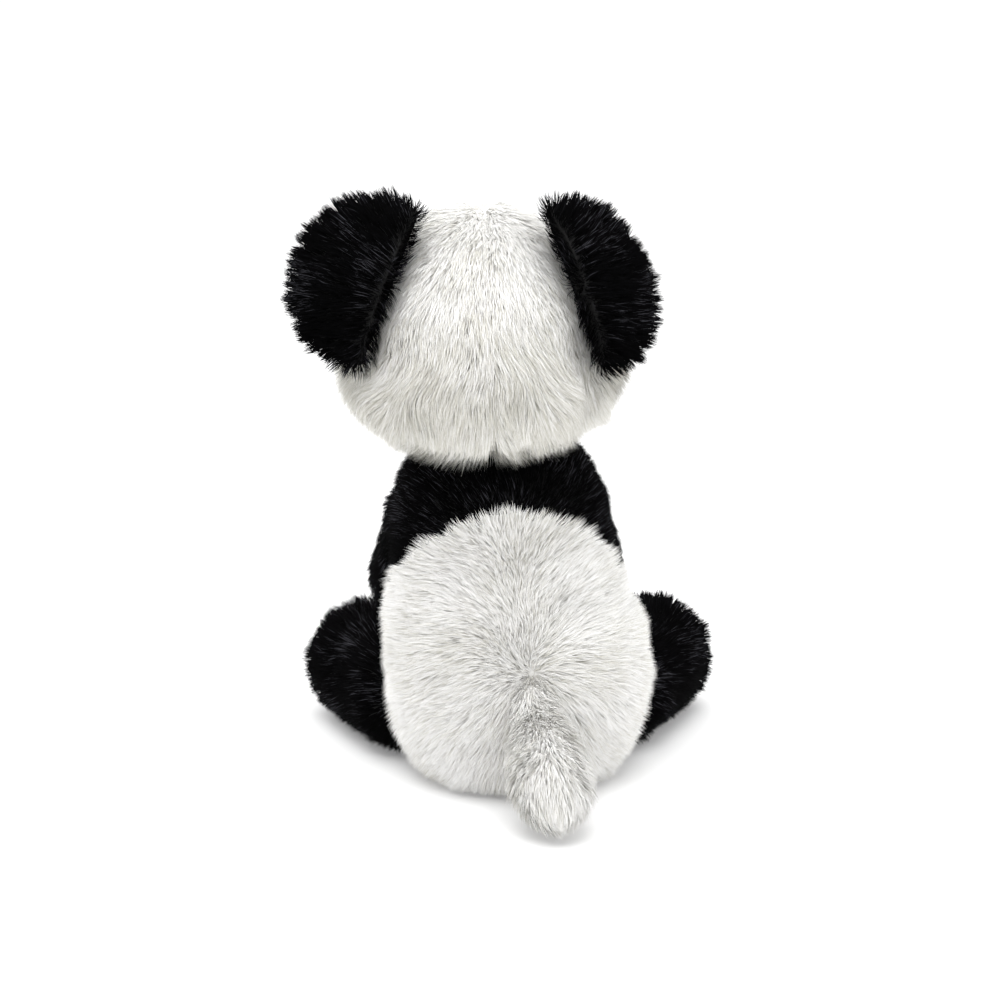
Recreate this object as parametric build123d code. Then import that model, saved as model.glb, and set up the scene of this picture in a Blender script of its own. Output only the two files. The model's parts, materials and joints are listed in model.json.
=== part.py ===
"""Sitting plush panda: sewn pile-fabric covers, fibre stuffing and flexible seams.

Millimetres. +Z is up, the face looks along -Y and the panda's left side is +X.
The origin is the middle of the flat seat, on the surface that the toy sits on.
Each cover is a shell as thick as its fabric and pile, cut into its sewn panels.
"""
from build123d import *
import os
from math import cos, radians, sin

# ---------------------------------------------------------------- driving dimensions
PILE = 4.0          # thickness of a cover: fabric backing and pile together
ROOM = 0.8          # free room round a limb that moves past its neighbour
LEAN = 4.3          # degrees that the stuffed torso leans to the panda's left
FAR = 800.0         # size of the blocks that stand for half spaces
OVAL = 0.5523       # handle length that makes a Bezier curve a quarter of an ellipse

# Egg shapes: height of the lower pole, of the widest circle and of the upper pole, then radius.
TORSO = (-16.0, 44.0, 138.0, 55.5)
HEAD = (143.0, 178.0, 248.0, 57.0)
# Limbs: radius of the ball at the seam, widest radius, its distance from the seam, length.
ARM = (15.0, 16.5, 50.0, 70.0)
LEG = (24.0, 26.0, 50.0, 68.0)
TAIL = (11.0, 18.0, 40.0, 62.0)

YOKE_Z = 88.0                   # lower edge of the black yoke at the sides and chest
YOKE_Y = 5.0                    # side seam between the back and the front panels
BACK_OVAL = (50.0, 64.0)        # half width and half height of the white back panel
BACK_OVAL_Z = 64.0

NECK_Z = 141.0                  # centre of the neck plug, along the leaning torso
NECK_R = 20.0
HEAD_X = 14.6                   # the head sits upright over the leaning torso

SHOULDER = (33.0, -12.0, 112.0)
ARM_DROP = 40.0                 # degrees forward of hanging straight down
ARM_OUT = 7.0
ARM_SWING = (0.0, 55.0)

HIP = (45.0, -28.0, 25.0)
LEG_SPLAY = {"left": 19.0, "right": 26.0}
LEG_SWING = (-16.0, 24.0)
SOLE_AT = 62.0                  # where the sole panel starts, from the hip seam

TAIL_ROOT = (-1.0, 50.0, 47.5)
TAIL_DROP = 38.0
TAIL_SIDE = -7.0
TAIL_SWING = (0.0, 60.0)

EAR_R = 36.0
EAR_LONG = 38.0                 # from the root seam to the outer edge
EAR_THICK = 9.0
EAR_EDGE = 3.5                  # rounding of the outer edge
EAR_ROOT_R = 4.0                # rounded root, just inside the ear's own thickness
EAR_ROUND = {"left": 58.0, "right": 45.0}   # degrees round the head from the middle of its back
EAR_TILT = 26.0                 # the root seam leans in as the head narrows
EAR_RADIAL = 53.05              # root seam's distance from the head's axis
EAR_Z = 218.5
EAR_FORWARD = {"left": 118.0, "right": 133.0}
EAR_SWING = {"left": (-25.0, 35.0), "right": (0.0, 60.0)}

BAG_AT = (0.0, 16.0, 17.0)      # the bean bag lies low and towards the back
BAG = (-10.0, 0.0, 10.0, 23.0)
BAG_CLOTH = 1.0

EYE_R = 5.5
EYE_ROUND = 25.0                # degrees to each side of the face's middle
EYE_Z = 187.0
EYE_SINK = 1.5
EYE_STEM = (2.0, 10.0)          # radius and length
EYE_FACE = 56.7                 # radius of the face at the eyes
WASHER = (6.0, 1.2)             # radius and thickness
PATCH = (11.0, 15.0)            # half width and half height of an eye patch
PATCH_TURN = 28.0

MUZZLE_R = 21.0
MUZZLE_AT = (0.0, -47.0, 168.0)
NOSE_R = 6.0
NOSE_UP = 24.0                  # degrees above the muzzle's middle
LINE_STITCH = 0.65              # half thickness of the line under the nose
SMILE_STITCH = 0.8
MOUTH_TOP = 2.0                 # above the muzzle's middle, under the nose
MOUTH_DROP = 9.0                # the smile lies this far below the middle
MOUTH_WIDTH = 17.0


# ---------------------------------------------------------------- helpers
def quarter_oval(height, radius, pole):
    """A smooth quarter of an oval, from the widest circle at this height to a pole on the axis."""
    rise = pole - height
    return Bezier((radius, height), (radius, height + OVAL * rise), (OVAL * radius, pole), (0, pole))


def egg(low, waist, high, radius, inset=0.0):
    """An egg of revolution on the Z axis, shrunk by the inset."""
    upper = quarter_oval(waist, radius - inset, high - inset)
    lower = quarter_oval(waist, radius - inset, low + inset)
    outline = Curve() + [upper, lower, Line((0, high - inset), (0, low + inset))]
    return revolve(Plane.XZ * make_face(outline.edges()), Axis.Z)


def limb_side(ball, widest, at, length, inset):
    """The outline of a limb from its ball's widest circle to its tip."""
    ball, widest = ball - inset, widest - inset
    flank = Bezier((ball, 0), (ball, at / 2), (widest, at / 2), (widest, at))
    return [flank, quarter_oval(at, widest, length - inset)]


def limb(ball, widest, at, length, inset=0.0):
    """A limb along +Z whose seam end is a ball round the origin."""
    radius, tip = ball - inset, length - inset
    root = CenterArc((0, 0), radius, -90, 90)
    outline = Curve() + [root, *limb_side(ball, widest, at, length, inset), Line((0, tip), (0, -radius))]
    return revolve(Plane.XZ * make_face(outline.edges()), Axis.Z)


def swept_limb(sizes, swing):
    """Solids that fill all the room a limb takes as it turns about the X axis."""
    ball = sizes[0] + ROOM
    tip = sizes[-1] + ROOM
    outline = Curve() + [*limb_side(*sizes, -ROOM), Line((0, tip), (0, 0)), Line((0, 0), (ball, 0))]
    half = Plane.XZ * make_face(outline.edges())
    wedge = Rot(swing[0], 0, 0) * revolve(half, Axis.X, revolution_arc=swing[1] - swing[0])
    ends = [Rot(angle, 0, 0) * limb(*sizes, -ROOM) for angle in swing]
    return [wedge + mirror(wedge, Plane.YZ), *ends]


def frame_at(origin, along, hinge):
    """A place whose Z axis is a limb's direction, with its hinge axis as near X as it can be."""
    along = Vector(*along).normalized()
    hinge = Vector(*hinge)
    square = hinge - along * hinge.dot(along)
    return Plane(origin=origin, x_dir=square, z_dir=along)


def half_space(origin, direction):
    """Everything on the side of a plane that its direction points to."""
    return Plane(origin=origin, z_dir=direction).location * Pos(0, 0, FAR / 2) * Box(FAR, FAR, FAR)


def halves(shape, origin, direction):
    """A shape cut in two by a plane: the side it points to, then the other."""
    side = half_space(origin, direction)
    return shape & side, shape - side


# ---------------------------------------------------------------- places and hinges
TILT = Rot(0, LEAN, 0)
FLOOR = half_space((0, 0, 0), (0, 0, 1))
SIDES = {"left": 1, "right": -1}


def leaned(point):
    """A point of the upright torso, where it is once the torso leans."""
    moved = TILT * Pos(*point)
    return tuple(moved.position)


def shoulder_frame(side):
    """Arm along Z; turning about X lifts the paw forwards and up."""
    out, drop = radians(ARM_OUT), radians(ARM_DROP)
    along = (SIDES[side] * sin(out), -sin(drop) * cos(out), -cos(drop) * cos(out))
    return frame_at(leaned((SIDES[side] * SHOULDER[0], *SHOULDER[1:])), leaned(along), leaned((-1, 0, 0)))


def hip_frame(side):
    """Leg along Z; turning about X moves the foot outwards on both sides."""
    splay = radians(LEG_SPLAY[side])
    along = (SIDES[side] * sin(splay), -cos(splay), 0)
    return frame_at((SIDES[side] * HIP[0], *HIP[1:]), along, (0, 0, SIDES[side]))


def tail_frame():
    """Tail along Z; turning about X lifts its tip."""
    drop, aside = radians(TAIL_DROP), radians(TAIL_SIDE)
    return frame_at(TAIL_ROOT, (sin(aside), cos(aside) * cos(drop), -sin(drop)), (1, 0, 0))


def ear_frame(side):
    """Z along the root seam, X out to the ear's edge, Y towards the back of the head."""
    round_head, tilt = radians(EAR_ROUND[side]), radians(EAR_TILT)
    forward = radians(EAR_FORWARD[side])
    radial = Vector(SIDES[side] * sin(round_head), cos(round_head), 0)
    origin = Vector(HEAD_X, 0, EAR_Z) + radial * EAR_RADIAL
    seam = radial * -sin(tilt) + Vector(0, 0, cos(tilt))
    out = Vector(SIDES[side] * sin(forward), cos(forward), 0)
    out = (out - seam * out.dot(seam)).normalized()
    return Plane(origin=origin, x_dir=out, z_dir=seam)


NECK = leaned((0, 0, NECK_Z))


# ---------------------------------------------------------------- torso
def moving_room():
    """What the torso leaves free for the neck plug, the limbs and the tail."""
    sweeps = [(tail_frame(), TAIL, TAIL_SWING)]
    for side in SIDES:
        sweeps += [(shoulder_frame(side), ARM, ARM_SWING), (hip_frame(side), LEG, LEG_SWING)]
    room = [Pos(*NECK) * Sphere(NECK_R + ROOM)]
    for place, sizes, swing in sweeps:
        room += [place.location * solid for solid in swept_limb(sizes, swing)]
    return room


def torso():
    outer = (TILT * egg(*TORSO)) & FLOOR
    inner = (TILT * egg(*TORSO, PILE)) & half_space((0, 0, PILE), (0, 0, 1))
    shell = outer - inner
    for room in moving_room():
        shell -= room
        inner -= room

    walls, seat = halves(shell, (0, 0, PILE), (0, 0, 1))
    up = leaned((0, 0, 1))
    top, base = halves(walls, leaned((0, 0, YOKE_Z)), up)
    yoke_back, yoke_chest = halves(top, (0, YOKE_Y, 0), (0, 1, 0))
    base_back, belly = halves(base, (0, YOKE_Y, 0), (0, 1, 0))
    oval = TILT * Pos(0, 0, BACK_OVAL_Z) * extrude(Plane.XZ * Ellipse(*BACK_OVAL), -FAR / 2)
    back = (yoke_back & oval) + base_back
    back_left, back_right = halves(back, (0, 0, 0), leaned((1, 0, 0)))

    bag = Pos(*BAG_AT) * egg(*BAG)
    beans = Pos(*BAG_AT) * egg(*BAG, BAG_CLOTH)
    return {
        "yoke_back": yoke_back - oval, "yoke_chest": yoke_chest, "belly_panel": belly,
        "back_panel_left": back_left, "back_panel_right": back_right, "seat_panel": seat,
        "torso_fill": inner - bag, "pellet_bag": bag - beans, "pellets": beans,
    }


# ---------------------------------------------------------------- head
def eye_place(side):
    """A place on the face with Z pointing out of it, at one eye."""
    turn = radians(EYE_ROUND)
    out = Vector(SIDES[side] * sin(turn), -cos(turn), 0)
    return Plane(origin=Vector(HEAD_X, 0, EYE_Z) + out * EYE_FACE, x_dir=(0, 0, 1), z_dir=out).location


def eye_parts(side):
    """Dome and stem of a safety eye, and the washer that locks it inside the cover."""
    stem_r, stem_long = EYE_STEM
    dome = Pos(0, 0, -EYE_SINK) * Sphere(EYE_R)
    stem = Pos(0, 0, -EYE_SINK - stem_long / 2) * Cylinder(stem_r, stem_long)
    washer = Pos(0, 0, -PILE - EYE_R + EYE_SINK) * (Cylinder(WASHER[0], WASHER[1]) - Cylinder(stem_r, WASHER[1]))
    place = eye_place(side)
    return place * (dome + stem), place * washer


def patch_block(side):
    """The tilted oval that an eye patch is cut to, as a bar through the face."""
    turn = -SIDES[side] * PATCH_TURN
    oval = Rot(0, 0, turn) * extrude(Ellipse(PATCH[1], PATCH[0]), 2 * PILE, both=True)
    return eye_place(side) * Pos(-PATCH[1] / 4, 0, 0) * oval


def mouth():
    """Embroidered line under the nose that parts into a short smile."""
    front = half_space((0, 0, 0), (0, -1, 0))
    line_height = MOUTH_TOP + MOUTH_DROP
    upright = (Rot(0, 90, 0) * Torus(MUZZLE_R, LINE_STITCH)) & front
    upright &= Pos(0, 0, MOUTH_TOP - line_height / 2) * Box(FAR, FAR, line_height)
    smile = Pos(0, 0, -MOUTH_DROP) * Torus(level_radius(MOUTH_DROP), SMILE_STITCH) & front
    smile &= Box(MOUTH_WIDTH, FAR, FAR)
    return Pos(HEAD_X, *MUZZLE_AT[1:]) * (upright + smile)


def level_radius(height):
    """Radius of the muzzle's level circle this far below its middle."""
    return (MUZZLE_R ** 2 - height ** 2) ** 0.5


def head():
    outer = Pos(HEAD_X, 0, 0) * egg(*HEAD)
    inner = Pos(HEAD_X, 0, 0) * egg(*HEAD, PILE)
    plug = Pos(*NECK) * Sphere(NECK_R + ROOM)
    shell, fill = outer - inner - plug, inner - plug

    muzzle_place = Pos(HEAD_X, *MUZZLE_AT[1:])
    muzzle = muzzle_place * Sphere(MUZZLE_R) - outer
    muzzle_core = (muzzle_place * Sphere(MUZZLE_R - PILE)) - outer
    nose_place = muzzle_place * Rot(-NOSE_UP, 0, 0) * Pos(0, -MUZZLE_R, 0)
    nose = nose_place * (Sphere(NOSE_R) + Pos(0, NOSE_R, 0) * Rot(90, 0, 0) * Cylinder(2, 2 * NOSE_R))
    nose_washer = nose_place * Pos(0, NOSE_R + 0.6, 0) * Rot(90, 0, 0) * (
        Cylinder(WASHER[0], WASHER[1]) - Cylinder(2, WASHER[1]))
    stitches = mouth() - nose

    parts = {"nose": nose - outer, "nose_washer": nose_washer, "mouth_stitches": stitches,
             "muzzle_cover": muzzle - muzzle_core - nose - nose_washer - stitches,
             "muzzle_fill": muzzle_core - nose - nose_washer}

    back, face = halves(shell, (0, 0, 0), (0, 1, 0))
    for side in SIDES:
        eye, washer = eye_parts(side)
        patch = patch_block(side)
        parts[f"{side}_eye"] = eye
        parts[f"{side}_eye_washer"] = washer
        parts[f"{side}_eye_patch"] = (face & patch) - eye
        face -= patch
        fill = fill - eye - washer
    parts["face_left"], parts["face_right"] = halves(face, (HEAD_X, 0, 0), (1, 0, 0))
    parts["head_back_left"], parts["head_back_right"] = halves(back, (HEAD_X, 0, 0), (1, 0, 0))
    parts["head_fill"] = fill
    return parts


# ---------------------------------------------------------------- ears, limbs and tail
def ear(side):
    """Two fabric faces sewn round their edge, with a rounded root along the hinge."""
    shift = EAR_LONG - EAR_R
    disc = Rot(90, 0, 0) * Pos(shift, 0, 0) * Cylinder(EAR_R, EAR_THICK)
    disc = fillet(disc.edges().filter_by(GeomType.CIRCLE), EAR_EDGE)
    reach = (EAR_R ** 2 - shift ** 2) ** 0.5 - EAR_EDGE
    root = Cylinder(EAR_ROOT_R, 2 * reach)
    body = (disc & half_space((0, 0, 0), (1, 0, 0))) + root
    back, front = halves(ear_frame(side).location * body, ear_frame(side).origin, ear_frame(side).y_dir)
    if SIDES[side] > 0:
        return {f"{side}_ear_back": back, f"{side}_ear_front": front}
    return {f"{side}_ear_back": front, f"{side}_ear_front": back}


def split_limb(place, sizes, direction):
    """A limb's cover as two fabric halves, with the stuffing inside them."""
    outer = (place.location * limb(*sizes)) & FLOOR
    inner = (place.location * limb(*sizes, PILE)) & half_space((0, 0, PILE), (0, 0, 1))
    first, second = halves(outer - inner, place.origin, direction)
    return first, second, inner


def arm(side):
    place = shoulder_frame(side)
    outer, inner, fill = split_limb(place, ARM, place.x_dir * -SIDES[side])
    return {f"{side}_arm_outer": outer, f"{side}_arm_inner": inner, f"{side}_arm_fill": fill}


def leg(side):
    place = hip_frame(side)
    outer, inner, fill = split_limb(place, LEG, place.y_dir * -1)
    sole_block = half_space(place.origin + place.z_dir * SOLE_AT, place.z_dir)
    sole = (outer + inner) & sole_block
    return {f"{side}_leg_outer": outer - sole_block, f"{side}_leg_inner": inner - sole_block,
            f"{side}_sole": sole, f"{side}_leg_fill": fill}


def tail():
    place = tail_frame()
    left, right, fill = split_limb(place, TAIL, place.x_dir)
    return {"tail_left": left, "tail_right": right, "tail_fill": fill}


def neck():
    return {"neck_fill": Pos(*NECK) * Sphere(NECK_R)}


# ---------------------------------------------------------------- the whole toy
def panda():
    nodes = {**torso(), **neck(), **head(), **tail()}
    for side in SIDES:
        nodes.update({**ear(side), **arm(side), **leg(side)})
    return nodes


os.makedirs("parts", exist_ok=True)
for name, shape in panda().items():
    export_step(shape, f"parts/{name}.step")
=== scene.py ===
"""Sitting plush panda: stuffed skins, a pile of real fur blades, face parts and a plain studio."""
import json
import math

import bpy
import numpy as np
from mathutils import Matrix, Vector, kdtree, noise


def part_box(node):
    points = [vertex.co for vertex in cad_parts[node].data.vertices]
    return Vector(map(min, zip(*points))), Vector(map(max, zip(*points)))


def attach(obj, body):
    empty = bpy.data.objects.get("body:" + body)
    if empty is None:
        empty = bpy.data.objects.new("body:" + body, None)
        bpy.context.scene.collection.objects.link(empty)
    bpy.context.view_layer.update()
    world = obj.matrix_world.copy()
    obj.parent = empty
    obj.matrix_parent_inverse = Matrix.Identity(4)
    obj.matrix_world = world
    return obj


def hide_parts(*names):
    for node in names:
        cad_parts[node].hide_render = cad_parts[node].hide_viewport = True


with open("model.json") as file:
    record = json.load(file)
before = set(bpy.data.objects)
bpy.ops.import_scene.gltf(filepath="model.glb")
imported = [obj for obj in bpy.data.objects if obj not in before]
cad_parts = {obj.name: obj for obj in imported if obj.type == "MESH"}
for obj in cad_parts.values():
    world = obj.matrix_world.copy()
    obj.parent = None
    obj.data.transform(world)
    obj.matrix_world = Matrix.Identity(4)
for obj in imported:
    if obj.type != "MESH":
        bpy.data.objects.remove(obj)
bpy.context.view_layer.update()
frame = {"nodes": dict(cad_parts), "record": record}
JOINTS = {j["name"]: j for j in frame["record"]["behaviour"]["joints"]}
SIDES = {"left": 1, "right": -1}
MM = 0.001

# ---------------------------------------------------------------- sizes, as in the CAD model
LEAN = math.radians(4.3)
TORSO = (-16 * MM, 44 * MM, 138 * MM, 55.5 * MM)      # low pole, waist, high pole, radius
HEAD = (143 * MM, 178 * MM, 248 * MM, 57 * MM)
HEAD_X = 14.6 * MM
HEAD_SLUMP = 1.0 * MM         # the stuffing has settled to one side
TORSO_SLUMP = 3.5 * MM
ARM = (15 * MM, 16.5 * MM, 50 * MM, 70 * MM)          # seam ball, widest, where, length
LEG = (24 * MM, 26 * MM, 50 * MM, 68 * MM)
TAIL = (11 * MM, 18 * MM, 40 * MM, 62 * MM)
ARM_DROP, ARM_OUT = math.radians(40), math.radians(7)
LEG_SPLAY = {"left": math.radians(19), "right": math.radians(26)}
TAIL_DROP, TAIL_SIDE = math.radians(38), math.radians(-7)
EAR_R, EAR_LONG = 36 * MM, 38 * MM
EAR_ROOT = 5.5 * MM           # the cloth carries on past the fold line, into the pile of the head
EAR_IN, EAR_THICK, EAR_CUP = 2 * MM, 3.0 * MM, 3.5 * MM
EAR_FORWARD = {"left": math.radians(118), "right": math.radians(133)}
MUZZLE_AT, MUZZLE_R = Vector((HEAD_X, -47 * MM, 168 * MM)), 21 * MM
EYE_CLEAR = 5.0 * MM          # no pile within this of the middle of an eye
BACK_OVAL, BACK_OVAL_Z = (48 * MM, 59 * MM), 64 * MM
YOKE_Z = 88 * MM
FOLD_Z = 78 * MM              # a soft fold across the right flank
SHOULDER_Z, SHOULDER_TOP, SHOULDER_R = 118 * MM, 153 * MM, 39.5 * MM
NECK_Z = 150 * MM             # the head rests on the shoulders up to here
SMOOTH_Z, TOUSLE_FADE = 216 * MM, 36 * MM     # the crown is smooth above this, tousled below

SKIN_IN = 3.2 * MM            # the fabric lies this far inside the CAD surface, under its pile
DEEP_IN = 4.6 * MM            # and this far where the pile is long
STUFF_IN = 2.2 * MM           # and the stuffing this far inside the fabric
FLOOR_GAP = 0.35 * MM
SKIN_GAP = FLOOR_GAP + 0.4 * MM
SWIRL_SEED = 2                # pieces that meet share the waves of the pile
TUFTS = 0.03                  # of all blades, those that lead a tuft
BLADE_UV = "OFBake"           # tone across, and place along the blade upwards


# ---------------------------------------------------------------- materials
def new_material(name):
    mat = bpy.data.materials.new(name)
    mat.use_nodes = True
    return mat, mat.node_tree, mat.node_tree.nodes["Principled BSDF"]


def link(tree, a, a_out, b, b_in):
    tree.links.new(a.outputs[a_out], b.inputs[b_in])


def mottled(name, dark, light, scale, roughness, bump=0.0, bump_scale=None, sheen=0.0, coat=0.0):
    """A surface whose colour wanders between two tones, with a fine relief."""
    mat, tree, shader = new_material(name)
    place = tree.nodes.new("ShaderNodeTexCoord")
    clouds = tree.nodes.new("ShaderNodeTexNoise")
    clouds.inputs["Scale"].default_value = scale
    clouds.inputs["Detail"].default_value = 6
    ramp = tree.nodes.new("ShaderNodeValToRGB")
    for element, at, colour in zip(ramp.color_ramp.elements, (0.3, 0.7), (dark, light)):
        element.position, element.color = at, (*colour, 1)
    link(tree, place, "Object", clouds, "Vector")
    link(tree, clouds, "Fac", ramp, "Fac")
    link(tree, ramp, "Color", shader, "Base Color")
    shader.inputs["Roughness"].default_value = roughness
    shader.inputs["Sheen Weight"].default_value = sheen
    shader.inputs["Coat Weight"].default_value = coat
    if bump:
        grain = tree.nodes.new("ShaderNodeTexNoise")
        grain.inputs["Scale"].default_value = bump_scale
        relief = tree.nodes.new("ShaderNodeBump")
        relief.inputs["Strength"].default_value = bump
        relief.inputs["Distance"].default_value = 0.3 * MM
        link(tree, place, "Object", grain, "Vector")
        link(tree, grain, "Fac", relief, "Height")
        link(tree, relief, "Normal", shader, "Normal")
    return mat


def fibre(name, tones, root_shade, roughness, sheen, gloss=0.25):
    """Dyed pile: each blade has its own tone, and painted shade darkens it towards its root."""
    mat, tree, shader = new_material(name)
    place = tree.nodes.new("ShaderNodeUVMap")
    place.uv_map = BLADE_UV
    split = tree.nodes.new("ShaderNodeSeparateXYZ")
    tone = tree.nodes.new("ShaderNodeValToRGB")
    while len(tone.color_ramp.elements) < len(tones):
        tone.color_ramp.elements.new(0.5)
    for i, (at, colour) in enumerate(tones):
        tone.color_ramp.elements[i].position = at
        tone.color_ramp.elements[i].color = (*colour, 1)
    # painted shade: the tones darken towards the blade root, where the blades shade one another
    length = tree.nodes.new("ShaderNodeValToRGB")
    shades = (root_shade, (1, 1, 1))
    for element, at, colour in zip(length.color_ramp.elements, (0.0, 0.65), shades):
        element.position, element.color = at, (*colour, 1)
    mix = tree.nodes.new("ShaderNodeMixRGB")
    mix.blend_type = "MULTIPLY"
    mix.inputs["Fac"].default_value = 1
    link(tree, place, "UV", split, "Vector")
    link(tree, split, "X", tone, "Fac")
    link(tree, split, "Y", length, "Fac")
    link(tree, tone, "Color", mix, "Color1")
    link(tree, length, "Color", mix, "Color2")
    link(tree, mix, "Color", shader, "Base Color")
    shader.inputs["Roughness"].default_value = roughness
    shader.inputs["Sheen Weight"].default_value = sheen
    shader.inputs["Sheen Roughness"].default_value = 0.4
    shader.inputs["Specular IOR Level"].default_value = gloss
    return mat


# painted shade: the darkest, warm grey white tone is reached where the lower head's painted shade
# lowers the tone
WHITE_PILE = fibre("white_fibre", ((0.0, (0.66, 0.645, 0.58)), (0.3, (0.885, 0.877, 0.85)),
                                   (0.7, (0.94, 0.936, 0.925)), (1.0, (0.97, 0.968, 0.96))),
                   # painted shade at the blade roots
                   (0.86, 0.85, 0.83), 0.6, 0.25)
# painted highlight: the lightest black tone, on a few blades at random, stands for glints on the
# pile
BLACK_PILE = fibre("black_fibre", ((0.0, (0.0004, 0.0004, 0.0005)), (0.6, (0.001, 0.001, 0.0012)),
                                   (0.93, (0.003, 0.003, 0.0036)), (1.0, (0.05, 0.05, 0.058))),
                   # painted shade at the blade roots
                   (0.25, 0.25, 0.25), 0.75, 0.0, 0.025)
WHITE_CLOTH = mottled("white_backing", (0.86, 0.85, 0.83), (0.92, 0.915, 0.90), 90, 0.9, 0.4, 1500)
BLACK_CLOTH = mottled("black_backing", (0.0008, 0.0008, 0.0008), (0.002, 0.002, 0.0022), 90, 0.95,
                      0.4, 1500)
FIBRE_FILL = mottled("fibre_fill", (0.75, 0.75, 0.72), (0.9, 0.9, 0.88), 260, 0.95, 0.6, 700)
BAG_CLOTH = mottled("bag_cloth", (0.6, 0.58, 0.52), (0.72, 0.7, 0.64), 300, 0.9, 0.5, 2500)
BEANS = mottled("bean_plastic", (0.7, 0.7, 0.68), (0.85, 0.85, 0.83), 400, 0.5)
WASHER = mottled("washer_plastic", (0.6, 0.6, 0.58), (0.7, 0.7, 0.68), 200, 0.45)
EYE_GLOSS = mottled("eye_plastic", (0.002, 0.0015, 0.0015), (0.008, 0.005, 0.004), 120, 0.05)
NOSE_GLOSS = mottled("nose_plastic", (0.002, 0.002, 0.002), (0.006, 0.0055, 0.0055), 260, 0.35,
                     0.25, 1800)
THREAD = mottled("mouth_thread", (0.004, 0.004, 0.004), (0.02, 0.018, 0.018), 900, 0.6, 0.8, 3500)

# Which CAD node keeps its own shape, and in which material.
KEPT_NODES = {
    "pellet_bag": BAG_CLOTH, "pellets": BEANS, "neck_fill": FIBRE_FILL, "left_eye": EYE_GLOSS,
    "right_eye": EYE_GLOSS, "left_eye_washer": WASHER, "right_eye_washer": WASHER,
    "nose_washer": WASHER, "nose": NOSE_GLOSS, "mouth_stitches": THREAD,
}


def finish_cad_nodes():
    for node, mat in KEPT_NODES.items():
        mesh = frame["nodes"][node].data
        if not mesh.materials:
            mesh.materials.append(mat)
        for i in range(len(mesh.materials)):
            mesh.materials[i] = mat


# ---------------------------------------------------------------- meshes
def linked(name, data):
    obj = bpy.data.objects.new(name, data)
    bpy.context.scene.collection.objects.link(obj)
    return obj


def mesh_object(name, points, faces, material):
    mesh = bpy.data.meshes.new(name)
    mesh.from_pydata(points.tolist(), [], faces)
    mesh.materials.append(material)
    mesh.shade_smooth()
    return linked(name, mesh)


def turned(profile, segments=64):
    """A closed surface of revolution on Z from (radius, height) rows, whose ends are poles."""
    angles = np.linspace(0, 2 * math.pi, segments, endpoint=False)
    rings = [np.stack([r * np.cos(angles), r * np.sin(angles), np.full(segments, z)], 1)
             for r, z in profile[1:-1]]
    points = np.concatenate([[[0, 0, profile[0][1]]], *rings, [[0, 0, profile[-1][1]]]])
    faces = []
    last = len(points) - 1
    for s in range(segments):
        t = (s + 1) % segments
        faces.append((0, 1 + t, 1 + s))
        top = 1 + (len(rings) - 1) * segments
        faces.append((last, top + s, top + t))
        for k in range(len(rings) - 1):
            a = 1 + k * segments
            faces.append((a + s, a + t, a + segments + t, a + segments + s))
    return points, faces


def egg_profile(low, waist, high, radius, inset, rows=44):
    rows_at = np.linspace(-math.pi / 2, math.pi / 2, rows)
    reach = np.where(rows_at > 0, high - inset - waist, waist - low - inset)
    return list(zip((radius - inset) * np.cos(rows_at), waist + reach * np.sin(rows_at)))


def limb_profile(ball, widest, at, length, inset, rows=14):
    ball, widest, length = ball - inset, widest - inset, length - inset
    quarter = np.linspace(0, math.pi / 2, rows)
    root = list(zip(ball * np.sin(quarter), -ball * np.cos(quarter)))
    along = np.linspace(0, 1, rows)[1:-1]
    ease = along * along * (3 - 2 * along)
    flank = list(zip(ball + (widest - ball) * ease, at * along))
    tip = list(zip(widest * np.cos(quarter), at + (length - at) * np.sin(quarter)))
    return root + flank + tip


def frame_matrix(origin, x_axis, z_axis):
    """Rows x, y, z and an origin, for placing local points."""
    z = Vector(z_axis).normalized()
    x = Vector(x_axis)
    x = (x - z * x.dot(z)).normalized()
    return np.array([x, z.cross(x), z]), np.array(origin)


def off_floor(points):
    """Skins stay just above the floor, which leaves room for the pile under them."""
    points[:, 2] = np.maximum(points[:, 2], SKIN_GAP)
    return points


def cad_box(node):
    """The low and high corners of a CAD node."""
    return [np.array(corner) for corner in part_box(node)]


def placed(points, place):
    axes, origin = place
    return points @ axes + origin


def leaned(points):
    """Points of the upright torso, moved to where the leaning torso has them."""
    c, s = math.cos(LEAN), math.sin(LEAN)
    x, y, z = points.T
    return np.stack([x * c + z * s, y, z * c - x * s], 1)


def unleaned(points):
    """The other way round: where the points would be on the upright torso."""
    c, s = math.cos(LEAN), math.sin(LEAN)
    x, y, z = points.T
    return np.stack([x * c - z * s, y, z * c + x * s], 1)


def shoulder_place(side):
    along = np.array([[SIDES[side] * math.sin(ARM_OUT), -math.sin(ARM_DROP) * math.cos(ARM_OUT),
                       -math.cos(ARM_DROP) * math.cos(ARM_OUT)]])
    joint = JOINTS[f"{side}_arm_swing"]
    return frame_matrix(joint["pos_m"], joint["axis"], leaned(along)[0])


def hip_place(side):
    joint = JOINTS[f"{side}_leg_splay"]
    splay = LEG_SPLAY[side]
    along = (SIDES[side] * math.sin(splay), -math.cos(splay), 0)
    return frame_matrix(joint["pos_m"], joint["axis"], along)


def tail_place():
    joint = JOINTS["tail_lift"]
    along = (math.sin(TAIL_SIDE), math.cos(TAIL_SIDE) * math.cos(TAIL_DROP), -math.sin(TAIL_DROP))
    return frame_matrix(joint["pos_m"], joint["axis"], along)


def ear_place(side):
    """X out of the root seam, Z up along it, Y towards the back of the left ear."""
    joint = JOINTS[f"{side}_ear_fold"]
    seam = Vector(joint["axis"]) * SIDES[side]
    forward = EAR_FORWARD[side]
    out = (SIDES[side] * math.sin(forward), math.cos(forward), 0)
    return frame_matrix(joint["pos_m"], out, seam)


# ---------------------------------------------------------------- stuffing out the skins
def groove(distance, depth, width):
    """How far a sewn seam pulls each point in, given its distance from the seam."""
    return depth * np.exp(-(distance / width) ** 2)


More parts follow.
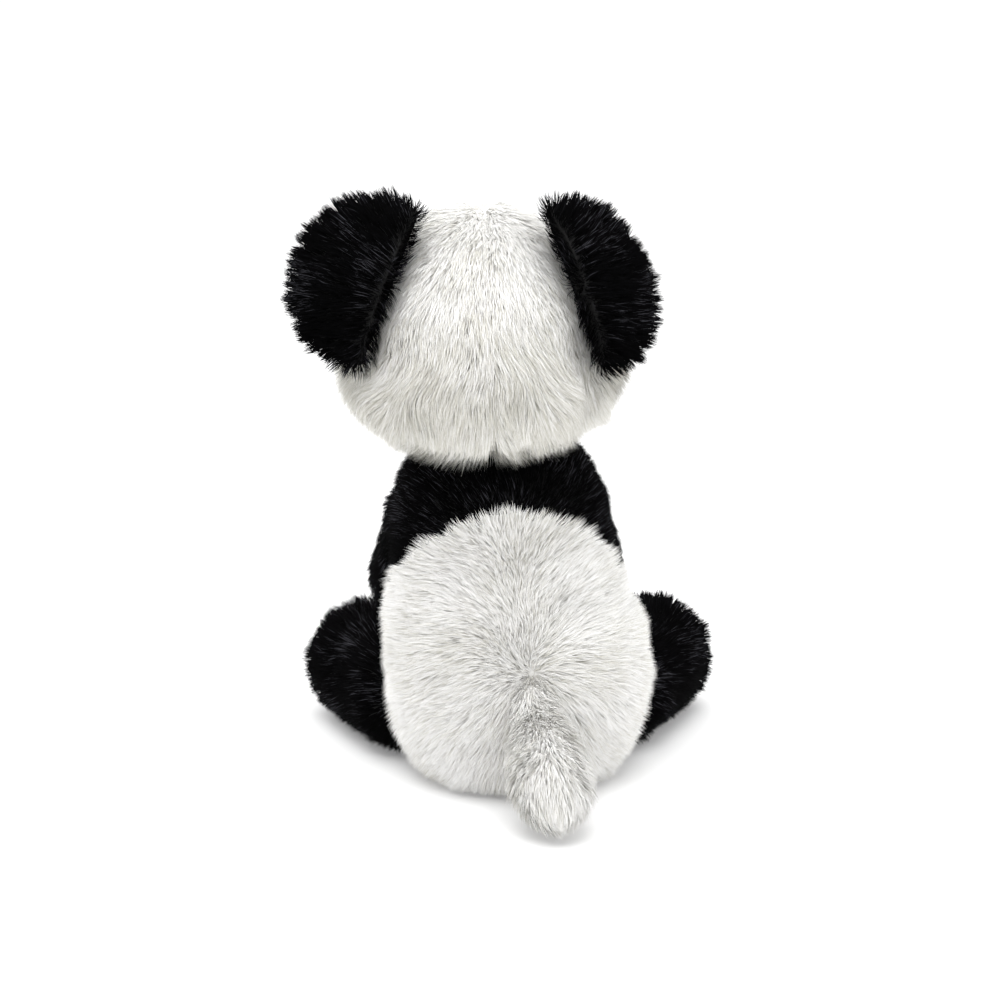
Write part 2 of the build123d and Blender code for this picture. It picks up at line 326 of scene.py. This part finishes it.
def vertex_normals(obj):
    out = np.zeros(len(obj.data.vertices) * 3, np.float32)
    obj.data.vertices.foreach_get("normal", out)
    return out.reshape(-1, 3).astype(float)


def coordinates(obj):
    out = np.zeros(len(obj.data.vertices) * 3, np.float32)
    obj.data.vertices.foreach_get("co", out)
    return out.reshape(-1, 3).astype(float)


def move_to(obj, points):
    obj.data.vertices.foreach_set("co", points.astype(np.float32).ravel())
    obj.data.update()


def pull_in(obj, amount):
    move_to(obj, coordinates(obj) - vertex_normals(obj) * amount[:, None])


def stuff(obj, pinned, pressure=3.0, cap=3.0 * MM, frames=14):
    """Inflates a sewn cover between its seams with a cloth simulation, then keeps the shape."""
    before = coordinates(obj)
    group = obj.vertex_groups.new(name="seams")
    group.add([int(i) for i in np.nonzero(pinned)[0]], 1.0, "REPLACE")
    cloth = obj.modifiers.new("stuffing", "CLOTH")
    cloth.settings.quality = 5
    cloth.settings.mass = 0.2
    cloth.settings.tension_stiffness = 25
    cloth.settings.compression_stiffness = 12
    cloth.settings.bending_stiffness = 0.4
    cloth.settings.use_pressure = True
    cloth.settings.uniform_pressure_force = pressure
    cloth.settings.vertex_group_mass = "seams"
    cloth.settings.effector_weights.gravity = 0
    cloth.collision_settings.use_collision = False
    scene = bpy.context.scene
    for step in range(1, frames + 1):
        scene.frame_set(step)
    shown = obj.evaluated_get(bpy.context.evaluated_depsgraph_get())
    after = coordinates(shown)
    obj.modifiers.remove(cloth)
    scene.frame_set(1)
    moved = after - before
    size = np.linalg.norm(moved, axis=1, keepdims=True)
    obj.vertex_groups.remove(group)
    move_to(obj, before + moved * np.minimum(1, cap / np.maximum(size, 1e-9)))


def lumps(obj, height, size, seed):
    """Uneven stuffing: soft swellings a few centimetres wide."""
    points = coordinates(obj)
    swell = np.array([noise.noise(Vector(p) / size + Vector((seed, 0, 0))) for p in points])
    pull_in(obj, -height * swell)


# ---------------------------------------------------------------- fur
def smooth_noise(points, size, seed):
    """Wandering values from about -1 to 1, changing over this distance."""
    offset = Vector((seed * 7.3, seed * 3.1, seed * 5.7))
    return np.array([noise.noise(Vector(p) / size + offset) for p in points])


def unit(vectors):
    return vectors / np.maximum(np.linalg.norm(vectors, axis=1, keepdims=True), 1e-12)


def sampled(skin, density, rng):
    """Root points and normals, spread evenly over a skin."""
    mesh = skin.data
    mesh.calc_loop_triangles()
    tris = np.zeros(len(mesh.loop_triangles) * 3, np.int32)
    mesh.loop_triangles.foreach_get("vertices", tris)
    tris = tris.reshape(-1, 3)
    points, normals = coordinates(skin), vertex_normals(skin)
    a, b, c = (points[tris[:, i]] for i in range(3))
    area = np.linalg.norm(np.cross(b - a, c - a), axis=1) / 2
    count = int(density * area.sum() / (MM * MM))
    pick = rng.choice(len(area), count, p=area / area.sum())
    u, v = rng.random((2, count, 1))
    u, v = np.where(u + v > 1, 1 - u, u), np.where(u + v > 1, 1 - v, v)
    at = a[pick] + u * (b[pick] - a[pick]) + v * (c[pick] - a[pick])
    na, nb, nc = (normals[tris[pick, i]] for i in range(3))
    return at, unit(na + u * (nb - na) + v * (nc - na))


def clump(root, mid, tip, spacing, strength, rng):
    """Draws neighbouring blades together into tufts."""
    leaders = rng.choice(len(root), max(1, int(len(root) * spacing)), replace=False)
    tree = kdtree.KDTree(len(leaders))
    for i, at in enumerate(leaders):
        tree.insert(root[at], i)
    tree.balance()
    nearest = leaders[[tree.find(p)[1] for p in root]]
    pull = strength * rng.uniform(0.5, 1.0, (len(root), 1))
    mid = mid + (mid[nearest] - mid) * pull * 0.35
    tip = tip + (tip[nearest] - tip) * pull
    return mid, tip


def grow(name, skin, body, material, length, comb, keep, density, seed, lift,
         width=0.3 * MM, swirl=25, size=16 * MM, tuft=0.45, floor=True, shade=None):
    """Covers a skin with tapered curved blades that follow the comb direction.

    density is in blades a square millimetre. lift is how steeply the blades stand, in degrees, in
    their lower and upper half. swirl is how far the waves of the pile, of this size, turn the comb
    direction. tuft is how far neighbouring tips are drawn together, and shade is the painted shade
    that darkens the tones.
    """
    rng = np.random.default_rng(seed)
    root, normal = sampled(skin, density, rng)
    kept = keep(root, normal)
    root, normal = root[kept], normal[kept]
    count = len(root)
    flow = comb(root, normal)
    flow = unit(flow - normal * (flow * normal).sum(1, keepdims=True))
    turns = 1.6 * smooth_noise(root, size, SWIRL_SEED) * (swirl(root) if callable(swirl) else swirl)
    turn = np.radians(turns + rng.normal(0, 8, count))[:, None]
    flow = flow * np.cos(turn) + np.cross(normal, flow) * np.sin(turn)
    long = length(root) if callable(length) else np.full(count, length)
    long = (long * rng.uniform(0.7, 1.12, count)
            * (1 + 0.2 * smooth_noise(root, size / 2, SWIRL_SEED + 5)))
    raise_by = 12 * smooth_noise(root, size * 0.6, SWIRL_SEED + 9) + rng.normal(0, 6, count)
    rise = lift(root) if callable(lift) else lift
    low, high = (np.radians(degrees + raise_by)[:, None] for degrees in rise)
    half = long[:, None] / 2
    start = root - normal * 0.4 * MM
    mid = root + half * (np.cos(low) * flow + np.sin(low) * normal)
    tip = mid + half * (np.cos(high) * flow + np.sin(high) * normal)
    tip = tip + rng.normal(0, 0.35 * MM, (count, 3))
    mid, tip = clump(root, mid, tip, TUFTS, tuft, rng)
    if floor:
        for p in (mid, tip):
            p[:, 2] = np.maximum(p[:, 2], FLOOR_GAP + rng.uniform(0, 0.8 * MM, count))
    along = unit(tip - root)
    across = unit(np.cross(along, normal))
    roll = np.radians(rng.normal(0, 28, count))[:, None]
    across = across * np.cos(roll) + np.cross(along, across) * np.sin(roll)
    face = np.cross(along, across)
    outward = np.sign((face * normal).sum(1, keepdims=True))
    across, face = across * outward, face * outward
    across = across * (width / 2 * rng.uniform(0.7, 1.3, count))[:, None]
    middle = mid - across * 0.85, mid + across * 0.85
    points = np.stack([start - across, start + across, *middle, tip], 1)
    shine = np.repeat(unit(normal * 0.75 + face * 0.25), 5, axis=0)
    tone = rng.random(count) + 0.25 * smooth_noise(root, size, SWIRL_SEED + 13)
    # painted shade lowers the tone where a shade is given
    tone = np.clip(tone - shade(root) if shade else tone, 0.002, 0.998)
    return blades(name, points.reshape(-1, 3), shine, tone, body, material)


def blades(name, points, normals, tone, body, material):
    """One quad and one triangle a blade."""
    count = len(tone)
    base = (np.arange(count) * 5)[:, None]
    loops = np.concatenate([base + [1, 0, 2, 3], base + [3, 2, 4]], 1).ravel()
    mesh = bpy.data.meshes.new(name)
    mesh.vertices.add(count * 5)
    mesh.vertices.foreach_set("co", points.astype(np.float32).ravel())
    mesh.loops.add(count * 7)
    mesh.loops.foreach_set("vertex_index", loops.astype(np.int32))
    mesh.polygons.add(count * 2)
    starts = np.stack([np.arange(count) * 7, np.arange(count) * 7 + 4], 1).ravel()
    mesh.polygons.foreach_set("loop_start", starts.astype(np.int32))
    mesh.update(calc_edges=True)
    mesh.shade_smooth()
    place = mesh.uv_layers.new(name=BLADE_UV)
    across = tone[:, None] + np.array([1, -1, -1, 1, 1, -1, 0]) * 0.0015
    up = np.tile([0.01, 0.01, 0.5, 0.5, 0.5, 0.5, 0.99], (count, 1))
    place.data.foreach_set("uv", np.stack([across, up], 2).astype(np.float32).ravel())
    mesh.normals_split_custom_set_from_vertices(normals.astype(np.float32))
    mesh.materials.append(material)
    obj = linked(name, mesh)
    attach(obj, body)
    return obj


def stuffing(name, skin, body, *nodes):
    """Fibre filling just inside a skin, in the place of its plain CAD solid."""
    mesh = skin.data.copy()
    mesh.name = name
    mesh.materials.clear()
    mesh.materials.append(FIBRE_FILL)
    obj = linked(name, mesh)
    pull_in(obj, np.full(len(mesh.vertices), STUFF_IN))
    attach(obj, body)
    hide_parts(*nodes)


def downwards(points, normals):
    return np.tile([0.0, 0.0, -1.0], (len(points), 1))


def everywhere(points, normals):
    return np.full(len(points), True)


def above_floor(points, normals):
    """No pile grows on what the toy sits on."""
    return (points[:, 2] > 2.5 * MM) | (normals[:, 2] > -0.5)


# ---------------------------------------------------------------- torso
CREASE = np.array([-1.5 * MM, 55 * MM, 56 * MM])      # where the seam is closed above the tail


def on_back(points):
    """True on the white cloth: below the yoke, and inside the back panel's oval."""
    p = unleaned(points)
    oval = (p[:, 0] / BACK_OVAL[0]) ** 2 + ((p[:, 2] - BACK_OVAL_Z) / BACK_OVAL[1]) ** 2 < 1
    return (p[:, 2] < YOKE_Z) | (oval & (p[:, 1] > 5 * MM))


def torso_comb(points, normals):
    """On the back the pile fans out from the crease above the tail. In front it lies down."""
    away = unit(points - CREASE)
    behind = np.clip((points[:, 1:2] + 15 * MM) / (30 * MM), 0, 1)
    return away * behind + downwards(points, normals) * (1 - 0.7 * behind)


def torso_profile():
    """The CAD egg, filled out at the shoulders and carried up into the head's underside."""
    low, waist, high, radius = TORSO
    rows_at = np.linspace(-math.pi / 2, math.pi / 2, 56)
    reach = np.where(rows_at > 0, SHOULDER_TOP - waist, waist - low - DEEP_IN)
    z = waist + reach * np.sin(rows_at)
    egg = (radius - DEEP_IN) * np.sqrt(np.clip(1 - ((z - waist) / (high - waist)) ** 2, 0, 1))
    egg[rows_at < 0] = (radius - DEEP_IN) * np.cos(rows_at[rows_at < 0])
    rise = (z - SHOULDER_Z) / (SHOULDER_TOP - SHOULDER_Z)
    shoulders = SHOULDER_R * np.sqrt(np.clip(1 - rise ** 2, 0, 1))
    return list(zip((egg ** 6 + shoulders ** 6) ** (1 / 6), z))


def torso():
    points, faces = turned(torso_profile(), 80)
    points = leaned(points)
    points[:, 0] -= TORSO_SLUMP * np.exp(-((points[:, 2] - TORSO[1]) / (40 * MM)) ** 2)
    points = off_floor(points)
    skin = mesh_object("torso_skin", points, faces, WHITE_CLOTH)
    skin.data.materials.append(BLACK_CLOTH)
    upright = unleaned(points)
    spine = (np.abs(upright[:, 0]) < 2.5 * MM) & (points[:, 1] > 0)
    stuff(skin, spine | (points[:, 2] < 4 * MM) | (upright[:, 2] > SHOULDER_Z))
    lumps(skin, 1.1 * MM, 34 * MM, 3)
    points = coordinates(skin)
    upright = unleaned(points)
    seam = np.where(points[:, 1] > 0, np.abs(upright[:, 0]), 1.0)
    dent = np.linalg.norm(points - CREASE, axis=1)
    fold = np.hypot(points[:, 2] - FOLD_Z, np.maximum(points[:, 0] + 18 * MM, 0))
    pull_in(skin, groove(seam, 1.0 * MM, 3 * MM) + groove(dent, 3.0 * MM, 8 * MM)
            + groove(fold, 2.8 * MM, 7 * MM))
    move_to(skin, off_floor(coordinates(skin)))
    centres = np.array([p.center for p in skin.data.polygons])
    skin.data.polygons.foreach_set("material_index", (~on_back(centres)).astype(np.int32))
    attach(skin, "torso")
    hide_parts("yoke_back", "yoke_chest", "belly_panel", "back_panel_left",
                "back_panel_right", "seat_panel")
    stuffing("torso_stuffing", skin, "torso", "torso_fill")

    def white(p, n):
        return on_back(p + wander(p)) & above_floor(p, n)

    def black(p, n):
        return ~on_back(p + wander(p)) & above_floor(p, n) & (p[:, 2] < NECK_Z)

    def back_length(p):
        return (9.0 + 2.0 * np.clip((60 * MM - p[:, 2]) / (60 * MM), 0, 1)) * MM

    for layer, seed in ((1, 11), (2, 17)):
        fur = grow(f"torso_white_pile_{layer}", skin, "torso", WHITE_PILE, back_length, torso_comb,
                   white, density=1.8, width=0.26 * MM, seed=seed, lift=(58, 40),
                   swirl=30, size=20 * MM, tuft=0.35)
    fur = grow("torso_black_pile", skin, "torso", BLACK_PILE, 7.5 * MM, torso_comb, black,
               density=2.4, seed=12, lift=(58, 44), tuft=0.3)


def wander(points):
    """The colour border is sewn, but the pile over it is uneven."""
    shift = smooth_noise(points, 9 * MM, 4)
    return np.stack([shift, np.zeros(len(points)), shift], 1) * 1.5 * MM


# ---------------------------------------------------------------- head
def head_comb(points, normals):
    """Out from the crown and down, parting a little at the middle seam."""
    away = points - np.array([HEAD_X, 4 * MM, 0])
    flow = np.stack([away[:, 0], away[:, 1], np.zeros(len(points))], 1) / HEAD[3]
    flow[:, 0] += 0.1 * np.sign(away[:, 0]) * np.exp(-np.abs(away[:, 0]) / (6 * MM))
    flow[:, 2] = -1.0
    return flow


def lowness(points):
    """0 on the smooth crown, 1 on the long tousled pile from the middle of the head down."""
    return np.clip((SMOOTH_Z - points[:, 2]) / TOUSLE_FADE, 0, 1)


def patch_distance(points, side):
    """Under 1 inside an eye patch: a tilted oval round the eye."""
    low, high = cad_box(f"{side}_eye_patch")
    centre, half = (low + high) / 2, (high - low) / 2
    away = points - centre
    turn = math.radians(24) * SIDES[side]
    across = away[:, 0] * math.cos(turn) + away[:, 2] * math.sin(turn)
    up = away[:, 2] * math.cos(turn) - away[:, 0] * math.sin(turn)
    oval = (across / (half[0] * 0.95)) ** 2 + (up / (half[2] * 1.02)) ** 2
    return np.where(points[:, 1] < 0, oval, 9.0)


def on_patch(points):
    return (patch_distance(points, "left") < 1) | (patch_distance(points, "right") < 1)


def off_muzzle(points, reach):
    return np.linalg.norm(points - np.array(MUZZLE_AT), axis=1) > MUZZLE_R + reach


def off_eyes(points):
    clear = np.full(len(points), True)
    for side in SIDES:
        low, high = cad_box(f"{side}_eye")
        centre = (low + high) / 2
        clear &= np.linalg.norm((points - centre)[:, [0, 2]], axis=1) > EYE_CLEAR
    return clear


def head():
    points, faces = turned(egg_profile(*HEAD, DEEP_IN), 72)
    points[:, 0] += HEAD_X + HEAD_SLUMP
    skin = mesh_object("head_skin", points, faces, WHITE_CLOTH)
    seam = (np.abs(points[:, 0] - HEAD_X) < 2.5 * MM) & (points[:, 1] > -20 * MM)
    stuff(skin, seam | (points[:, 2] < NECK_Z))
    lumps(skin, 1.0 * MM, 36 * MM, 8)
    points = coordinates(skin)
    part = np.where(points[:, 1] > -20 * MM, np.abs(points[:, 0] - HEAD_X), 1.0)
    pull_in(skin, groove(part, 0.4 * MM, 3 * MM))
    skin.data.materials.append(BLACK_CLOTH)
    centres = np.array([p.center for p in skin.data.polygons])
    skin.data.polygons.foreach_set("material_index", on_patch(centres).astype(np.int32))
    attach(skin, "head")
    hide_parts("head_back_left", "head_back_right", "face_left", "face_right")
    stuffing("head_stuffing", skin, "head", "head_fill")

    def white(p, n):
        on_face = p[:, 1] < -10 * MM
        return ~on_patch(p) & off_muzzle(p, -1 * MM) & (~on_face | off_eyes(p))

    def head_length(p):
        front = 0.6 + 0.4 * np.clip((p[:, 1] + 40 * MM) / (40 * MM), 0, 1)
        return (9.0 + 4.5 * lowness(p)) * front * MM

    def head_lift(p):
        low = lowness(p)
        hanging = 45 * np.clip((160 * MM - p[:, 2]) / (10 * MM), 0, 1) * (p[:, 1] > -20 * MM)
        return 28 + 28 * low + 0.6 * hanging, 6 + 32 * low + 0.6 * hanging

    # painted shade: the pile darkens from the middle of the head down, as if lit from above
    for layer, seed in ((1, 21), (2, 27)):
        fur = grow(f"head_pile_{layer}", skin, "head", WHITE_PILE, head_length, head_comb, white,
                   density=1.85, width=0.25 * MM, tuft=0.3, seed=seed, lift=head_lift,
                   swirl=lambda p: 8 + 48 * lowness(p), size=20 * MM, floor=False,
                   shade=lambda p: 0.45 * lowness(p))
    eye_patches(skin)
    muzzle()


def eye_patches(head_skin):
    for side in SIDES:
        def inside(p, n, side=side):
            return (patch_distance(p, side) < 1) & off_eyes(p)

        fur = grow(f"{side}_eye_patch_pile", head_skin, "head", BLACK_PILE, 4.5 * MM, head_comb,
                   inside, density=4.0, seed=31, lift=(40, 20), swirl=12, floor=False)
        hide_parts(f"{side}_eye_patch")


def muzzle():
    profile = egg_profile(-MUZZLE_R, 0, MUZZLE_R, MUZZLE_R, 1.6 * MM, rows=28)
    points, faces = turned(profile, 48)
    points = points * np.array([1.08, 1.0, 0.92]) + np.array(MUZZLE_AT)
    skin = mesh_object("muzzle_skin", points, faces, WHITE_CLOTH)
    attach(skin, "head")
    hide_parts("muzzle_cover")
    stuffing("muzzle_stuffing", skin, "head", "muzzle_fill")
    nose_low, nose_high = cad_box("nose")
    mouth_low, mouth_high = cad_box("mouth_stitches")
    middle = (mouth_low + mouth_high) / 2

    def front(p, n):
        aside = np.abs(p[:, 0] - middle[0])
        by_nose = ((p > nose_low - 0.3 * MM) & (p < nose_high + 0.3 * MM)).all(1)
        line = (aside < 0.9 * MM) & (p[:, 2] > mouth_low[2]) & (p[:, 2] < nose_low[2])
        smile = (aside < 8.5 * MM) & (np.abs(p[:, 2] - mouth_low[2] - 0.8 * MM) < 1.0 * MM)
        return ~by_nose & ~line & ~smile & (p[:, 1] < MUZZLE_AT[1] + 4 * MM)

    def outwards(p, n):
        away = p - (np.array(MUZZLE_AT) + [0, -MUZZLE_R, 4 * MM])
        away[:, 2] -= 3 * MM
        return away

    fur = grow("muzzle_pile", skin, "head", WHITE_PILE, 2.6 * MM, outwards, front, density=4.0,
               width=0.3 * MM, seed=41, lift=(34, 14), swirl=10, floor=False)


# ---------------------------------------------------------------- ears, limbs and tail
def ear(side):
    """A cupped cloth leaf: round outside, straight along its root seam."""
    rows, columns = 22, 56
    rho = np.sin(np.linspace(0, math.pi / 2, rows))
    angles = np.linspace(0, 2 * math.pi, columns, endpoint=False)
    sheet = []
    for face in (1, -1):
        for r in rho[1:] if face > 0 else rho[1:-1][::-1]:
            x = (EAR_LONG - EAR_R) + (EAR_R - EAR_IN) * r * np.cos(angles)
            z = (EAR_R - EAR_IN) * r * np.sin(angles)
            x = np.maximum(x, -EAR_ROOT)
            thick = EAR_THICK * math.sqrt(max(0.0, 1 - r ** 4))
            cup = EAR_CUP * (1 - r * r) * SIDES[side]
            sheet.append(np.stack([x, np.full(columns, face * thick) + cup, z], 1))
    poles = [[EAR_LONG - EAR_R, face * EAR_THICK + EAR_CUP * SIDES[side], 0] for face in (1, -1)]
    points = np.concatenate([[poles[0]], *sheet, [poles[1]]])
    faces = []
    last = len(points) - 1
    for s in range(columns):
        t = (s + 1) % columns
        faces.append((0, 1 + s, 1 + t))
        end = 1 + (len(sheet) - 1) * columns
        faces.append((last, end + t, end + s))
        for k in range(len(sheet) - 1):
            a = 1 + k * columns
            faces.append((a + s, a + columns + s, a + columns + t, a + t))
    place = ear_place(side)
    skin = mesh_object(f"{side}_ear_skin", placed(points, place), faces, BLACK_CLOTH)
    turn_outwards(skin)
    body = f"{side}_ear"
    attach(skin, body)
    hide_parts(f"{side}_ear_back", f"{side}_ear_front")
    axes, origin = place

    def fan(p, n):
        return p - (origin - axes[0] * 34 * MM)

    fur = grow(f"{side}_ear_pile", skin, body, BLACK_PILE, 8.5 * MM, fan, everywhere, density=2.9,
               seed=51 + SIDES[side], lift=(60, 42), swirl=16, tuft=0.6, floor=False)


def turn_outwards(obj):
    """Makes the faces of a closed mesh point out."""
    mesh = obj.data
    mesh.calc_loop_triangles()
    points = coordinates(obj)
    tris = np.array([t.vertices[:] for t in mesh.loop_triangles])
    a, b, c = (points[tris[:, i]] for i in range(3))
    if (a * np.cross(b, c)).sum() < 0:
        mesh.flip_normals()


def limb(name, sizes, place, cloth, pile, slot, nodes, seed, hair_length, inset=SKIN_IN, **look):
    """An arm, a leg or the tail: a stuffed tube, with a seam along each side."""
    points, faces = turned(limb_profile(*sizes, inset), 48)
    points = off_floor(placed(points, place))
    skin = mesh_object(f"{name}_skin", points, faces, cloth)
    turn_outwards(skin)
    axes, origin = place
    local = (points - origin) @ axes.T
    stuff(skin, (local[:, 2] < 0) | (np.abs(local[:, 1]) < 1.2 * MM), cap=1.5 * MM)
    lumps(skin, 0.7 * MM, 22 * MM, seed)
    local = (coordinates(skin) - origin) @ axes.T
    pull_in(skin, groove(np.abs(local[:, 1]), 0.8 * MM, 2 * MM))
    move_to(skin, off_floor(coordinates(skin)))
    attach(skin, name)
    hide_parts(*nodes)
    stuffing(f"{name}_stuffing", skin, name, f"{name}_fill")

    def towards_tip(p, n):
        return np.tile(axes[2], (len(p), 1)) + np.array([0, 0, -0.35])

    fur = grow(f"{name}_pile", skin, name, pile, hair_length, towards_tip, above_floor,
               seed=seed, **look)


def arms_and_legs():
    for side in SIDES:
        limb(f"{side}_arm", ARM, shoulder_place(side), BLACK_CLOTH, BLACK_PILE, "black_pile",
             (f"{side}_arm_outer", f"{side}_arm_inner"), 61 + SIDES[side], 7.5 * MM,
             density=2.3, lift=(50, 24))
        limb(f"{side}_leg", LEG, hip_place(side), BLACK_CLOTH, BLACK_PILE, "black_pile",
             (f"{side}_leg_outer", f"{side}_leg_inner", f"{side}_sole"), 71 + SIDES[side], 8.5 * MM,
             density=2.3, lift=(56, 34))


def tail():
    limb("tail", TAIL, tail_place(), WHITE_CLOTH, WHITE_PILE, "white_pile",
         ("tail_left", "tail_right"), 81, 9.5 * MM, DEEP_IN,
         density=3.6, width=0.26 * MM, lift=(46, 26), swirl=12, tuft=0.25)


# ---------------------------------------------------------------- studio
VIEW_AZIMUTH, VIEW_ELEVATION = math.radians(175), math.radians(16)
VIEW_DISTANCE = 1.5
VIEW_WIDTH = 0.42             # metres across the picture at the toy
VIEW_CENTRE = Vector((7.6 * MM, 0, 118.7 * MM))
SENSOR = 36.0
FLOOR_HALF = 6.0
FLOOR_GLOW, SKY_LIGHT = 0.12, 0.97
LAMPS = {                     # place, width in metres, watts
    "overhead": ((0.15, 0.45, 1.7), 1.5, 27),
    "fill": ((-1.3, 1.5, 0.9), 1.0, 4),
    "front": ((0.9, -1.6, 1.0), 1.2, 8),
}
LAMPS_AIM = Vector((0, 0, 0.1))


def studio():
    out = Vector((math.sin(VIEW_AZIMUTH) * math.cos(VIEW_ELEVATION),
                  -math.cos(VIEW_AZIMUTH) * math.cos(VIEW_ELEVATION), math.sin(VIEW_ELEVATION)))
    camera = linked("camera", bpy.data.cameras.new("camera"))
    camera.data.sensor_width = SENSOR
    camera.data.lens = SENSOR * VIEW_DISTANCE / VIEW_WIDTH
    camera.data.clip_end = 20
    camera.location = VIEW_CENTRE + out * VIEW_DISTANCE
    camera.rotation_euler = (-out).to_track_quat("-Z", "Y").to_euler()
    bpy.context.scene.camera = camera

    corners = np.array([(-1, -1, 0), (1, -1, 0), (1, 1, 0), (-1, 1, 0)]) * FLOOR_HALF
    floor = mesh_object("floor", corners, [(0, 1, 2, 3)],
                        mottled("floor", (0.86, 0.86, 0.86), (0.88, 0.88, 0.88), 2, 0.9))
    shader = floor.data.materials[0].node_tree.nodes["Principled BSDF"]
    shader.inputs["Emission Color"].default_value = (1, 1, 1, 1)
    shader.inputs["Emission Strength"].default_value = FLOOR_GLOW

    world = bpy.data.worlds.new("studio")
    world.use_nodes = True
    world.node_tree.nodes["Background"].inputs["Color"].default_value = (1, 1, 1, 1)
    world.node_tree.nodes["Background"].inputs["Strength"].default_value = SKY_LIGHT
    bpy.context.scene.world = world
    for name, (at, size, power) in LAMPS.items():
        lamp(name, at, size, power)
    bpy.context.scene.view_settings.view_transform = "Standard"


def lamp(name, at, size, power):
    light = bpy.data.lights.new(name, "AREA")
    light.size = size
    light.energy = power
    obj = linked(name, light)
    obj.location = at
    obj.rotation_euler = (LAMPS_AIM - Vector(at)).to_track_quat("-Z", "Y").to_euler()


studio()
finish_cad_nodes()
torso()
head()
for ear_side in SIDES:
    ear(ear_side)
arms_and_legs()
tail()
